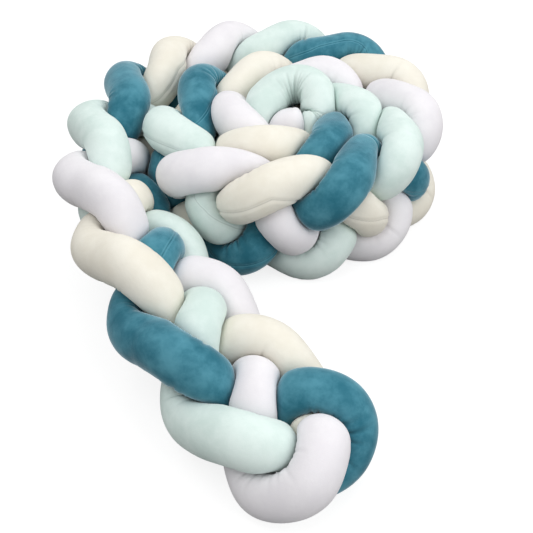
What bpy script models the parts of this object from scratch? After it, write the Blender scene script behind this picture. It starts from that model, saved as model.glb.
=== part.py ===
"""Crib bumper: four stuffed velvet tubes, plaited flat and rolled up with one end left lying out.

The plait is described in its own terms first. A lobe is one bulge of its edge, so a place along it is a
number of lobes from the tail end, `across` is the distance from its middle line toward the edge that is
uppermost in the roll, and `high` is the distance toward the face that looks up in the tail and inward in
the roll. The four tubes are sewn end to end in pairs, so their centre lines make one closed loop. That
loop is laid along the roll, settled so that the tubes press on each other as stuffed tubes do, and
skinned with rings that are squeezed flat wherever two tubes or a tube and the ground meet.
"""

import math
from collections import namedtuple

import bmesh
import bpy
import numpy as np
from mathutils.bvhtree import BVHTree

# Driving sizes, in metres
TUBE_DIAMETER = 0.065
ACROSS = 0.058  # from the middle line of the plait to a tube's centre line at an edge
OVER = 0.031  # how far a tube's centre line rises and falls as it passes over and under
LEVEL = 0.005  # the part of that rise which evens out the pressure of the crossings
GAP = 0.0003  # between any two pieces

# The tubes, in the order in which they reach the upper edge
COLOURS = ("white", "mint", "teal", "cream")
LINEAR_COLOUR = {
    "white": (0.80, 0.79, 0.83),
    "mint": (0.67, 0.79, 0.74),
    "teal": (0.06, 0.22, 0.29),
    "cream": (0.84, 0.80, 0.68),
}
PILE_ROUGHNESS = 0.9

# The line that the plait follows on the ground. Lean is 0 where it lies flat and 90 where it stands on edge,
# and wide is its width as a share of the usual.
Station = namedtuple("Station", "lobe x y lean wide", defaults=(1.0,))
STATIONS = (
    Station(-1, 0.108, -0.475, 5, 1.08),
    Station(0, 0.044, -0.405, 0, 1.08),
    Station(1, -0.011, -0.33, 0, 1.08),
    Station(2, -0.092, -0.23, 20, 1.04),
    Station(3, -0.16, -0.115, 35),
    Station(4, -0.22, 0, 55),
    Station(5, -0.24, 0.125, 65),
    Station(6, -0.22, 0.252, 75),
    Station(7, -0.17, 0.352, 85),
    Station(8, -0.09, 0.42, 92),
    Station(9, 0.02, 0.44, 90),
    Station(10, 0.125, 0.4, 90),
    Station(11, 0.2, 0.32, 90),
    Station(12, 0.224, 0.218, 90),
    Station(13, 0.203, 0.12, 92),
    Station(14, 0.127, 0.05, 87),
    Station(15, 0.03, 0.012, 86),
    Station(16, -0.065, 0.033, 88),
    Station(17, -0.135, 0.115, 90),
    Station(18, -0.115, 0.24, 92),
    Station(19, -0.025, 0.3, 92),
    Station(20, 0.07, 0.3, 90),
    Station(21, 0.132, 0.21, 95),
    Station(22, 0.107, 0.11, 92),
    Station(23, 0.005, 0.08, 90),
    Station(24, -0.036, 0.162, 90),
    Station(25, 0.035, 0.235, 88),
    Station(26, 0.13, 0.25, 88),
)

# Where each tube's weave starts and ends. Past those lobes it turns to the tube that it is sewn to.
Woven = namedtuple("Woven", "tail core")
WOVEN = {
    "white": Woven(0.5, 24.6),
    "mint": Woven(0.1, 24.35),
    "teal": Woven(0.75, 25.0),
    "cream": Woven(0.42, 25.0),
}

# The turns themselves, as places of the tubes' centre lines
Turn = namedtuple("Turn", "x y z")
WHITE_TAIL = (
    Turn(0.056, -0.384, 0.074),
    Turn(0.059, -0.395, 0.082),
    Turn(0.063, -0.412, 0.089),
    Turn(0.066, -0.425, 0.082),
    Turn(0.057, -0.432, 0.067),
    Turn(0.033, -0.432, 0.051),
    Turn(0.008, -0.423, 0.041),
    Turn(-0.012, -0.405, 0.036),
)
TEAL_TAIL = (
    Turn(0.047, -0.395, 0.034),
    Turn(0.068, -0.388, 0.034),
    Turn(0.086, -0.376, 0.038),
    Turn(0.096, -0.363, 0.048),
    Turn(0.092, -0.359, 0.063),
    Turn(0.071, -0.365, 0.076),
    Turn(0.045, -0.361, 0.084),
)
CREAM_TAIL = (
    Turn(0.053, -0.373, 0.065),
)
WHITE_CORE = (
    Turn(-0.005, 0.195, 0.108),
    Turn(0.008, 0.19, 0.135),
    Turn(0.024, 0.18, 0.152),
    Turn(0.045, 0.174, 0.156),
)
MINT_CORE = (
    Turn(0.062, 0.171, 0.15),
    Turn(0.08, 0.178, 0.134),
    Turn(0.093, 0.194, 0.148),
    Turn(0.094, 0.222, 0.174),
    Turn(0.07, 0.245, 0.186),
    Turn(0.038, 0.252, 0.184),
    Turn(0.006, 0.236, 0.173),
    Turn(-0.01, 0.203, 0.156),
)
CREAM_CORE = (
    Turn(0.065, 0.25, 0.075),
    Turn(0.08, 0.24, 0.05),
)

# Settling
STEP = 0.018  # between the points of the loop while it settles
ROUNDS = 160
PRESSED = 0.68  # the least distance between two centre lines, as a share of the tube's diameter
PULLED_TIGHT = 0.8  # the loop's length after plaiting, as a share of the drawn path's
STIFFNESS = 0.12
HOLD = 0.01  # how strongly a point is held where it was drawn
TURN_HOLD = 0.05  # the same in the turns, which their seams hold
LAID_STEP = 0.125  # in lobes
ON_GROUND = 0.8  # the least height of a centre line, as a share of the tube's radius

# Skin
SIDES = 8
RINGS = 148
SAMPLE = 0.006  # between the points of the loop that press on a ring
ROUNDING = 12  # the higher, the sharper the edge of a flat where two tubes press
GIRTH_ROUNDS = 4
MOST_SWELL = 1.07
CUFF = 0.006  # length of the drawn-in end where two tubes are sewn together
CUFF_SHARE = 0.72
EASE_ROUNDS = 60
EASE = 0.985
EASE_MARGIN = 0.0005  # how far a point stands proud while cuts are looked for


def spline(at, values, wanted):
    """Natural cubic spline through the rows of `values` at `at`, read at `wanted`."""
    count = len(at)
    step = np.diff(at)
    matrix = np.zeros((count, count))
    right = np.zeros((count, values.shape[1]))
    matrix[0, 0] = matrix[-1, -1] = 1
    for i in range(1, count - 1):
        matrix[i, i - 1 : i + 2] = step[i - 1], 2 * (step[i - 1] + step[i]), step[i]
        rise = (values[i + 1] - values[i]) / step[i]
        right[i] = 6 * (rise - (values[i] - values[i - 1]) / step[i - 1])
    bend = np.linalg.solve(matrix, right)
    k = np.clip(np.searchsorted(at, wanted) - 1, 0, count - 2)
    width = step[k][:, None]
    before = (wanted - at[k])[:, None]
    after = (at[k + 1] - wanted)[:, None]
    cubic = (bend[k] * after**3 + bend[k + 1] * before**3) / (6 * width)
    line = (values[k] / width - bend[k] * width / 6) * after
    return cubic + line + (values[k + 1] / width - bend[k + 1] * width / 6) * before


def unit(vectors):
    return vectors / np.linalg.norm(vectors, axis=-1, keepdims=True)


def lay(rows):
    """World positions of rows of (lobe, across, high) on the plait's line over the ground."""
    at = np.array([s.lobe for s in STATIONS], float)
    lean = np.radians([s.lean for s in STATIONS])
    radius = TUBE_DIAMETER / 2
    rise = (ACROSS + radius) * abs(np.sin(lean)) + (OVER + radius) * abs(np.cos(lean))
    line = np.array([(s.x, s.y, height, turn, s.wide) for s, height, turn in zip(STATIONS, rise, lean)])
    lobe, across, high = rows[:, 0], rows[:, 1:2], rows[:, 2:3]
    here = spline(at, line, lobe)
    nearby = 0.01
    along = unit((spline(at, line, lobe + nearby) - spline(at, line, lobe - nearby))[:, :3])
    left = unit(np.column_stack([-along[:, 1], along[:, 0], np.zeros(len(along))]))
    up = np.cross(along, left)
    edge = np.cos(here[:, 3:4]) * left + np.sin(here[:, 3:4]) * up
    face = np.cross(along, edge)
    return here[:, :3] + here[:, 4:] * across * edge + high * face


def weave(colour, lobe):
    """Rows of (lobe, across, high) of one tube in a plait of four, each passing over, under, over."""
    phase = math.pi / 2 * (lobe - COLOURS.index(colour))
    high = -LEVEL * np.sin(phase) - OVER * np.sin(3 * phase)
    return np.column_stack([lobe, ACROSS * np.cos(phase), high])


def woven(colour):
    """Rows of (x, y, z, hold) along one tube's weave, from the tail to the core."""
    span = WOVEN[colour]
    lobe = np.linspace(span.tail, span.core, int((span.core - span.tail) / LAID_STEP))
    places = lay(weave(colour, lobe))
    return np.column_stack([places, np.full(len(places), HOLD)])


def turned(turns):
    return np.array([(*turn, TURN_HOLD) for turn in turns])


def drawn_loop():
    """The closed loop that the four tubes make, as (colour, rows) in order from the white's tail end."""
    return (
        ("white", np.vstack([turned(WHITE_TAIL), woven("white"), turned(WHITE_CORE)])),
        ("mint", np.vstack([turned(MINT_CORE), woven("mint")[::-1]])),
        ("teal", np.vstack([turned(TEAL_TAIL), woven("teal")])),
        ("cream", np.vstack([turned(CREAM_CORE), woven("cream")[::-1], turned(CREAM_TAIL)])),
    )


def closed_length(points):
    return np.linalg.norm(np.roll(points, -1, axis=0) - points, axis=1).sum()


def respaced(rows, starts, count):
    """The closed line through `rows` with `count` even steps, and the new places of `starts` on it."""
    closed = np.vstack([rows, rows[:1]])
    travelled = np.concatenate([[0], np.cumsum(np.linalg.norm(np.diff(closed[:, :3], axis=0), axis=1))])
    at = np.linspace(0, travelled[-1], count, endpoint=False)
    even = np.column_stack([np.interp(at, travelled, column) for column in closed.T])
    places = np.interp(starts, np.arange(len(closed)), travelled) / travelled[-1] * count
    return even, places


def pushed_apart(points, first, second, least):
    """The points moved so that no listed pair is nearer than `least`."""
    apart = points[first] - points[second]
    distance = np.linalg.norm(apart, axis=1)
    close = distance < least
    push = (0.5 * (least - distance[close]) / distance[close])[:, None] * apart[close]
    total = np.zeros_like(points)
    count = np.zeros(len(points))
    np.add.at(total, first[close], push)
    np.add.at(total, second[close], -push)
    np.add.at(count, first[close], 1)
    np.add.at(count, second[close], 1)
    return points + total / np.maximum(count, 1)[:, None]


def settled(drawn, hold):
    """The loop pulled tight: it stays smooth, keeps off itself and rests on the ground."""
    points = drawn
    count = len(points)
    step = closed_length(points) / count * PULLED_TIGHT
    index = np.arange(count)
    turns = np.abs(index[:, None] - index[None, :])
    turns = np.minimum(turns, count - turns)
    may_touch = (turns * STEP > 1.6 * TUBE_DIAMETER) & (index[:, None] < index[None, :])
    least = TUBE_DIAMETER * PRESSED
    for number in range(ROUNDS):
        if number % 8 == 0:
            distance = np.linalg.norm(points[:, None] - points[None, :], axis=2)
            first, second = np.nonzero(may_touch & (distance < 1.5 * least))
        bend = np.roll(points, 1, axis=0) - 2 * points + np.roll(points, -1, axis=0)
        spread = 2 * bend - np.roll(bend, 1, axis=0) - np.roll(bend, -1, axis=0)
        points = points + STIFFNESS * spread + hold * (drawn - points)
        for parity in (0, 1):
            here = index[parity::2]
            after = (here + 1) % count
            link = points[after] - points[here]
            length = np.linalg.norm(link, axis=1)[:, None]
            correction = 0.25 * (length - step) / length * link
            np.add.at(points, here, correction)
            np.add.at(points, after, -correction)
        points = pushed_apart(points, first, second, least)
        points = pushed_apart(points, first, second, least)
        points[:, 2] = np.maximum(points[:, 2], ON_GROUND * TUBE_DIAMETER / 2)
    return points


def smooth_closed(points, count):
    """A closed line of `count` points through every given point, by Catmull-Rom."""
    at = np.arange(count) * len(points) / count
    k = at.astype(int)
    t = (at - k)[:, None]
    a, b, c, d = (points[(k + i) % len(points)] for i in (-1, 0, 1, 2))
    return 0.5 * (2 * b + (c - a) * t + (2 * a - 5 * b + 4 * c - d) * t**2 + (3 * b - a - 3 * c + d) * t**3)


def read_closed(values, places):
    """Rows of a closed table read between its entries."""
    whole = np.vstack([values, values[:1]])
    at = places % len(values)
    return np.column_stack([np.interp(at, np.arange(len(whole)), column) for column in whole.T])


def carried_frames(along):
    """Two directions square to the line at each point, carried along it without twist."""
    side = np.zeros_like(along)
    start = np.cross(along[0], (0.0, 0.0, 1.0))
    side[0] = start / np.linalg.norm(start)
    for i in range(1, len(along)):
        carried = side[i - 1] - along[i] * np.dot(side[i - 1], along[i])
        side[i] = carried / np.linalg.norm(carried)
    return side, np.cross(along, side)


def free_reach(centres, rays, places, samples, sample_places):
    """How far each ray runs before it is as near to another stretch of the loop as to its own."""
    count = len(samples)
    reach = np.full(rays.shape[:2], np.inf)
    own = 0.03 / SAMPLE
    for i, centre in enumerate(centres):
        toward = samples - centre
        distance = np.linalg.norm(toward, axis=1)
        away = np.abs(sample_places - places[i])
        away = np.minimum(away, count - away)
        pressing = toward[(distance < 2.4 * TUBE_DIAMETER / 2 * MOST_SWELL) & (away > own)]
        if len(pressing):
            facing = rays[i] @ pressing.T + GAP
            limit = ((pressing**2).sum(axis=1) - GAP**2)[None, :] / (2 * np.maximum(facing, 1e-6))
            reach[i] = limit.min(axis=1)
    return reach


def seam_reach(centres, rays, seam, inward):
    """How far each ray runs before it meets the plane of a seam, on the rings that lie beside it."""
    ahead = (centres - seam) @ inward
    beside = (ahead > CUFF / 2) & (np.linalg.norm(centres - seam, axis=1) < TUBE_DIAMETER)
    limit = ahead[:, None] / np.maximum(-(rays @ inward), 1e-6)
    return np.where(beside[:, None], limit, np.inf)


def squeezed(centres, rays, reach, radius):
    """Ring points at one girth, squeezed where they press on something and swollen where they don't."""
    floor = centres[:, 2:] / np.maximum(-rays[:, :, 2], 1e-6)
    swell = np.ones((len(centres), 1))
    girth = 2 * SIDES * math.sin(math.pi / SIDES) * radius[:, 0]
    for _ in range(GIRTH_ROUNDS):
        free = swell * radius
        length = (free**-ROUNDING + reach**-ROUNDING) ** (-1 / ROUNDING)
        length = np.minimum(length, floor)
        ring = rays * length[:, :, None]
        around = np.linalg.norm(np.roll(ring, -1, axis=1) - ring, axis=2).sum(axis=1)
        swell = np.clip(swell * (girth / around)[:, None], 1.0, MOST_SWELL)
    return centres[:, None] + ring


def tube_rings(loop, start, end):
    """The rings of one tube, from one sewn end to the other."""
    samples = smooth_closed(loop, int(closed_length(loop) / SAMPLE))
    scale = len(samples) / len(loop)
    cuff = CUFF / ((end - start) * closed_length(loop) / len(loop))
    shares = np.concatenate([[0, cuff], np.linspace(0, 1, RINGS)[1:-1], [1 - cuff, 1]])
    places = (start + (end - start) * shares) * scale
    along = unit(read_closed(np.roll(samples, -1, axis=0) - np.roll(samples, 1, axis=0), places))
    centres = read_closed(samples, places)
    centres[0] += along[0] * GAP / 2
    centres[-1] -= along[-1] * GAP / 2
    side, other = carried_frames(along)
    angle = np.arange(SIDES) * 2 * math.pi / SIDES
    rays = side[:, None] * np.cos(angle)[:, None] + other[:, None] * np.sin(angle)[:, None]
    radius = np.full((len(centres), 1), TUBE_DIAMETER / 2)
    radius[0] = radius[-1] = CUFF_SHARE * TUBE_DIAMETER / 2
    reach = free_reach(centres, rays, places % len(samples), samples, np.arange(len(samples)))
    reach = np.minimum(reach, seam_reach(centres, rays, centres[0], along[0]))
    reach = np.minimum(reach, seam_reach(centres, rays, centres[-1], -along[-1]))
    return centres, squeezed(centres, rays, reach, radius)


def skin(rings):
    """Triangles of a closed tube: its wall, then a cap on each end."""
    count, sides = rings.shape[:2]
    faces = []
    for ring in range(count - 1):
        for side in range(sides):
            after = (side + 1) % sides
            a, b = ring * sides + side, ring * sides + after
            c, d = a + sides, b + sides
            faces += [(a, b, d), (a, d, c)]
    last = (count - 1) * sides
    faces += [(0, side + 1, side) for side in range(1, sides - 1)]
    faces += [(last, last + side, last + side + 1) for side in range(1, sides - 1)]
    return faces


def touching(tree, other, faces, other_faces, same):
    """The corners of every pair of triangles that cut each other."""
    mine, theirs = set(), set()
    for i, j in tree.overlap(other):
        if same and set(faces[i]) & set(other_faces[j]):
            continue
        mine.update(faces[i])
        theirs.update(other_faces[j])
    return mine, theirs


def eased_apart(tubes):
    """The tubes drawn in a little, ring point by ring point, until no two of them cut each other."""
    names = list(tubes)
    faces = {name: skin(tubes[name][1]) for name in names}
    for _ in range(EASE_ROUNDS):
        trees = {}
        for name in names:
            centres, rings = tubes[name]
            out = rings - centres[:, None]
            grown = rings + EASE_MARGIN * unit(out)
            trees[name] = BVHTree.FromPolygons(grown.reshape(-1, 3).tolist(), faces[name])
        caught = {name: set() for name in names}
        for i, name in enumerate(names):
            for other in names[i:]:
                mine, theirs = touching(trees[name], trees[other], faces[name], faces[other], name == other)
                caught[name] |= mine
                caught[other] |= theirs
        if not any(caught.values()):
            break
        for name in names:
            centres, rings = tubes[name]
            flat = rings.reshape(-1, 3)
            index = np.array(sorted(caught[name]), int)
            middle = centres[index // SIDES]
            height = flat[index, 2].copy()
            flat[index] = middle + (flat[index] - middle) * EASE
            grounded = height < GAP
            flat[index[grounded], 2] = height[grounded]
    return tubes


def material(name, colour):
    made = bpy.data.materials.new(name)
    made.use_nodes = True
    shader = made.node_tree.nodes["Principled BSDF"]
    shader.inputs["Base Color"].default_value = (*colour, 1.0)
    shader.inputs["Roughness"].default_value = PILE_ROUGHNESS
    shader.inputs["Metallic"].default_value = 0.0
    made.diffuse_color = (*colour, 1.0)
    return made


def add_tube(collection, colour, rings):
    """One stuffed tube as a closed mesh object."""
    name = f"tube_{colour}"
    mesh = bpy.data.meshes.new(name)
    mesh.from_pydata(rings.reshape(-1, 3).tolist(), [], skin(rings))
    work = bmesh.new()
    work.from_mesh(mesh)
    bmesh.ops.recalc_face_normals(work, faces=work.faces)
    work.to_mesh(mesh)
    work.free()
    mesh.shade_smooth()
    mesh.materials.append(material(f"velvet_{colour}", LINEAR_COLOUR[colour]))
    made = bpy.data.objects.new(name, mesh)
    collection.objects.link(made)
    return made


def settled_loop():
    """The settled centre line of all four tubes, and each tube's first and last place on it."""
    parts = drawn_loop()
    rows = np.vstack([rows for _, rows in parts])
    starts = np.cumsum([0] + [len(rows) for _, rows in parts])
    count = int(closed_length(rows[:, :3]) / STEP)
    even, places = respaced(rows, starts, count)
    spans = {colour: (places[i], places[i + 1]) for i, (colour, _) in enumerate(parts)}
    return settled(even[:, :3], even[:, 3:]), spans


def centred(tubes):
    """The tubes moved so that the middle of their box is over the origin and they stand on the ground."""
    every = np.vstack([rings.reshape(-1, 3) for _, rings in tubes.values()])
    middle = (every.min(axis=0) + every.max(axis=0)) / 2
    shift = np.array([middle[0], middle[1], every[:, 2].min()])
    return {name: (centres - shift, rings - shift) for name, (centres, rings) in tubes.items()}


def main():
    for old in list(bpy.data.objects):
        bpy.data.objects.remove(old)
    collection = bpy.data.collections.new("crib_bumper")
    bpy.context.scene.collection.children.link(collection)
    loop, spans = settled_loop()
    tubes = {colour: tube_rings(loop, *spans[colour]) for colour in COLOURS}
    tubes = centred(eased_apart(tubes))
    for colour in COLOURS:
        add_tube(collection, colour, tubes[colour][1])


main()
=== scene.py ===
"""Looks of the crib bumper: four stuffed velvet tubes, plaited flat and rolled up with one end left out.

The tubes are laid and settled in the same way as the construction's, because a stuffed tube takes its
shape from what it presses on. Each one then gets a fine skin: it is flat where it meets another tube or
the floor and full elsewhere, with a lengthwise seam, gathers inside its tight bends and drawn-in ends.
"""

import logging
import math
from dataclasses import dataclass, field
from enum import Enum
from typing import NamedTuple

import bpy
import numpy as np
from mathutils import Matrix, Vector


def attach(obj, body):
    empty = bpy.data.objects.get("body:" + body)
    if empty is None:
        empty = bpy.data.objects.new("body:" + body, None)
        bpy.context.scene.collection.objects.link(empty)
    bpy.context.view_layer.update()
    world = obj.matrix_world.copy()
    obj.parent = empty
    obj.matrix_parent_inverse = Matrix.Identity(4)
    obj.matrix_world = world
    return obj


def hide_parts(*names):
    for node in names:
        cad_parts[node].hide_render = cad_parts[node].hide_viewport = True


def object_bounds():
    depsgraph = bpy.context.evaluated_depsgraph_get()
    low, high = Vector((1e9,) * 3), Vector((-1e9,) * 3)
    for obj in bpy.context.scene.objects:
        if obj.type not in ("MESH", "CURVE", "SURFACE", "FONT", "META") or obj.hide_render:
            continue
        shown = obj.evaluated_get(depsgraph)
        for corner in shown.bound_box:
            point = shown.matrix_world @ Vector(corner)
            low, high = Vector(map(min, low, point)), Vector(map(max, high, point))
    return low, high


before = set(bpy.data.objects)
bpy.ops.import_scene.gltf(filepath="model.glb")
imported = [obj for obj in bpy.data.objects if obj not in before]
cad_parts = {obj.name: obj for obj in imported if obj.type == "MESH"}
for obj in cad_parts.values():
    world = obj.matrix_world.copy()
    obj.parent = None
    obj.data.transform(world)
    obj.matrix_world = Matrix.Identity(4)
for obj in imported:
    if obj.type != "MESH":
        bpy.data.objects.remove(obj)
CAD_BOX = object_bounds()
BODY = "root"
TINY = 1e-6
WHITE_LIGHT = (1.0, 1.0, 1.0, 1.0)

Tree = bpy.types.NodeTree
Node = bpy.types.Node
Socket = bpy.types.NodeSocket
Inputs = dict[str | int, object]
Rgb = tuple[float, float, float]

log = logging.getLogger("crib_bumper")


class Colour(Enum):
    """The four velvets, in the order in which their tubes reach the plait's upper edge."""

    WHITE = "white"
    MINT = "mint"
    TEAL = "teal"
    CREAM = "cream"

    @property
    def place(self) -> int:
        """Number of lobes by which this tube's weave follows the white one's."""
        return list(Colour).index(self)


class Station(NamedTuple):
    """One place on the plait's line over the floor. Lean is 0 lying flat and 90 on edge, wide is a share."""

    lobe: float
    x: float
    y: float
    lean: float
    wide: float = 1.0


class Turn(NamedTuple):
    """One place on a tube's centre line, past the end of its weave."""

    x: float
    y: float
    z: float


class Woven(NamedTuple):
    """The lobes between which a tube is woven."""

    tail: float
    core: float


class SeamPlace(NamedTuple):
    """Where a tube's lengthwise seam lies: degrees round the tube from its top, at one lobe."""

    lobe: float
    facing: float


STATIONS = (
    Station(-1, 0.108, -0.475, 5, 1.08),
    Station(0, 0.044, -0.405, 0, 1.08),
    Station(1, -0.011, -0.33, 0, 1.08),
    Station(2, -0.092, -0.23, 20, 1.04),
    Station(3, -0.16, -0.115, 35),
    Station(4, -0.22, 0, 55),
    Station(5, -0.24, 0.125, 65),
    Station(6, -0.22, 0.252, 75),
    Station(7, -0.17, 0.352, 85),
    Station(8, -0.09, 0.42, 92),
    Station(9, 0.02, 0.44, 90),
    Station(10, 0.125, 0.4, 90),
    Station(11, 0.2, 0.32, 90),
    Station(12, 0.224, 0.218, 90),
    Station(13, 0.203, 0.12, 92),
    Station(14, 0.127, 0.05, 87),
    Station(15, 0.03, 0.012, 86),
    Station(16, -0.065, 0.033, 88),
    Station(17, -0.135, 0.115, 90),
    Station(18, -0.115, 0.24, 92),
    Station(19, -0.025, 0.3, 92),
    Station(20, 0.07, 0.3, 90),
    Station(21, 0.132, 0.21, 95),
    Station(22, 0.107, 0.11, 92),
    Station(23, 0.005, 0.08, 90),
    Station(24, -0.036, 0.162, 90),
    Station(25, 0.035, 0.235, 88),
    Station(26, 0.13, 0.25, 88),
)

WOVEN = {
    Colour.WHITE: Woven(0.5, 24.6),
    Colour.MINT: Woven(0.1, 24.35),
    Colour.TEAL: Woven(0.75, 25.0),
    Colour.CREAM: Woven(0.42, 25.0),
}

WHITE_TAIL = (
    Turn(0.056, -0.384, 0.074),
    Turn(0.059, -0.395, 0.082),
    Turn(0.063, -0.412, 0.089),
    Turn(0.066, -0.425, 0.082),
    Turn(0.057, -0.432, 0.067),
    Turn(0.033, -0.432, 0.051),
    Turn(0.008, -0.423, 0.041),
    Turn(-0.012, -0.405, 0.036),
)
TEAL_TAIL = (
    Turn(0.047, -0.395, 0.034),
    Turn(0.068, -0.388, 0.034),
    Turn(0.086, -0.376, 0.038),
    Turn(0.096, -0.363, 0.048),
    Turn(0.092, -0.359, 0.063),
    Turn(0.071, -0.365, 0.076),
    Turn(0.045, -0.361, 0.084),
)
CREAM_TAIL = (Turn(0.053, -0.373, 0.065),)
WHITE_CORE = (
    Turn(-0.005, 0.195, 0.108),
    Turn(0.008, 0.19, 0.135),
    Turn(0.024, 0.18, 0.152),
    Turn(0.045, 0.174, 0.156),
)
MINT_CORE = (
    Turn(0.062, 0.171, 0.15),
    Turn(0.08, 0.178, 0.134),
    Turn(0.093, 0.194, 0.148),
    Turn(0.094, 0.222, 0.174),
    Turn(0.07, 0.245, 0.186),
    Turn(0.038, 0.252, 0.184),
    Turn(0.006, 0.236, 0.173),
    Turn(-0.01, 0.203, 0.156),
)
CREAM_CORE = (
    Turn(0.065, 0.25, 0.075),
    Turn(0.08, 0.24, 0.05),
)


def unit(vectors: np.ndarray) -> np.ndarray:
    """Vectors along the last axis, each brought to length 1."""
    return vectors / np.linalg.norm(vectors, axis=-1, keepdims=True)


def eased(values: np.ndarray, low: float, high: float) -> np.ndarray:
    """Values brought to 0 below `low` and 1 above `high`, with a smooth step between."""
    share = np.clip((values - low) / (high - low), 0.0, 1.0)
    return share * share * (3.0 - 2.0 * share)


def evened(values: np.ndarray, over: int = 9) -> np.ndarray:
    """A row of values with their jitter evened out over an odd number of places."""
    return np.convolve(np.pad(values, over // 2, mode="edge"), np.full(over, 1 / over), mode="valid")


def wrapped(angle: np.ndarray) -> np.ndarray:
    """Angles brought to within half a turn of 0, either way."""
    return (angle + math.pi) % (2 * math.pi) - math.pi


def round_angles(sides: int) -> np.ndarray:
    """Angles of the rays of one ring."""
    return np.arange(sides) * 2 * math.pi / sides


def closed_length(points: np.ndarray) -> float:
    """Length of the closed line through the points."""
    return float(np.linalg.norm(np.roll(points, -1, axis=0) - points, axis=1).sum())


def spline(at: np.ndarray, values: np.ndarray, wanted: np.ndarray) -> np.ndarray:
    """Natural cubic spline through the rows of a table.

    Args:
        at: Where each row of the table stands, rising.
        values: The table, one row for each place.
        wanted: Places at which to read it.

    Returns:
        One row for each wanted place.
    """
    count = len(at)
    step = np.diff(at)
    matrix = np.zeros((count, count))
    right = np.zeros((count, values.shape[1]))
    matrix[0, 0] = matrix[-1, -1] = 1
    for i in range(1, count - 1):
        matrix[i, i - 1 : i + 2] = step[i - 1], 2 * (step[i - 1] + step[i]), step[i]
        rise = (values[i + 1] - values[i]) / step[i]
        right[i] = 6 * (rise - (values[i] - values[i - 1]) / step[i - 1])
    bend = np.linalg.solve(matrix, right)
    k = np.clip(np.searchsorted(at, wanted) - 1, 0, count - 2)
    width = step[k][:, None]
    before = (wanted - at[k])[:, None]
    after = (at[k + 1] - wanted)[:, None]
    cubic = (bend[k] * after**3 + bend[k + 1] * before**3) / (6 * width)
    line = (values[k] / width - bend[k] * width / 6) * after
    return cubic + line + (values[k + 1] / width - bend[k + 1] * width / 6) * before


def smooth_closed(points: np.ndarray, count: int) -> np.ndarray:
    """A closed line through every given point, by Catmull-Rom.

    Args:
        points: The line's points, in order.
        count: How many points to make.

    Returns:
        The new points.
    """
    at = np.arange(count) * len(points) / count
    k = at.astype(int)
    t = (at - k)[:, None]
    a, b, c, d = (points[(k + i) % len(points)] for i in (-1, 0, 1, 2))
    return 0.5 * (2 * b + (c - a) * t + (2 * a - 5 * b + 4 * c - d) * t**2 + (3 * b - a - 3 * c + d) * t**3)


def read_closed(values: np.ndarray, places: np.ndarray) -> np.ndarray:
    """Reads a closed table between its entries.

    Args:
        values: The table's rows, of which the last leads back to the first.
        places: Row numbers, whole or not.

    Returns:
        One row for each place.
    """
    whole = np.vstack([values, values[:1]])
    at = places % len(values)
    return np.column_stack([np.interp(at, np.arange(len(whole)), column) for column in whole.T])


def feed(tree: Tree, node: Node, inputs: Inputs) -> None:
    """Fills a node's inputs.

    Args:
        tree: The tree that holds the node.
        node: The node.
        inputs: A value to set, or another node's socket to link, for each named or numbered input.
    """
    for socket, value in inputs.items():
        if isinstance(value, Socket):
            tree.links.new(value, node.inputs[socket])
        else:
            node.inputs[socket].default_value = value


def add(tree: Tree, kind: str, inputs: Inputs | None = None, **settings: object) -> Node:
    """Adds a shader node.

    Args:
        tree: The tree to add it to.
        kind: Its type, without the words that every shader node's type starts with.
        inputs: What to feed it.
        **settings: Its own settings, such as an operation.

    Returns:
        The new node.
    """
    made = tree.nodes.new(f"ShaderNode{kind}")
    for name, value in settings.items():
        setattr(made, name, value)
    feed(tree, made, inputs or {})
    return made


@dataclass(frozen=True)
class PlaitSizes:
    """Sizes that drive the whole plait, in metres, the same as the construction's."""

    tube: float = 0.065
    across: float = 0.058
    over: float = 0.031
    level: float = 0.005
    gap: float = 0.0003

    @property
    def radius(self) -> float:
        """Radius of a tube that nothing presses."""
        return self.tube / 2


@dataclass
class PlaitLine:
    """The line that the plait follows over the floor, and the weave of the four tubes on it."""

    sizes: PlaitSizes
    stations: tuple[Station, ...] = STATIONS
    woven: dict[Colour, Woven] = field(default_factory=lambda: dict(WOVEN))
    nearby: float = 0.01

    def lay(self, rows: np.ndarray) -> np.ndarray:
        """Places in the scene of rows of (lobe, across, high) on the line.

        Args:
            rows: Lobes from the tail's end, distance toward the edge that is uppermost in the roll,
                and distance toward the face that looks inward in the roll.

        Returns:
            One (x, y, z) row for each.
        """
        at = np.array([s.lobe for s in self.stations], float)
        lean = np.radians([s.lean for s in self.stations])
        on_edge = self.sizes.across + self.sizes.radius
        flat = self.sizes.over + self.sizes.radius
        rise = on_edge * abs(np.sin(lean)) + flat * abs(np.cos(lean))
        rows_of_line = zip(self.stations, rise, lean)
        line = np.array([(s.x, s.y, height, turn, s.wide) for s, height, turn in rows_of_line])
        lobe, across, high = rows[:, 0], rows[:, 1:2], rows[:, 2:3]
        here = spline(at, line, lobe)
        along = unit((spline(at, line, lobe + self.nearby) - spline(at, line, lobe - self.nearby))[:, :3])
        left = unit(np.column_stack([-along[:, 1], along[:, 0], np.zeros(len(along))]))
        up = np.cross(along, left)
        edge = np.cos(here[:, 3:4]) * left + np.sin(here[:, 3:4]) * up
        return here[:, :3] + here[:, 4:] * across * edge + high * np.cross(along, edge)

    def weave(self, colour: Colour, lobe: np.ndarray) -> np.ndarray:
        """One tube's way over and under the others.

        Args:
            colour: Which tube.
            lobe: Places along the plait.

        Returns:
            Rows of (lobe, across, high), one for each place.
        """
        phase = math.pi / 2 * (lobe - colour.place)
        high = -self.sizes.level * np.sin(phase) - self.sizes.over * np.sin(3 * phase)
        return np.column_stack([lobe, self.sizes.across * np.cos(phase), high])


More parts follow.
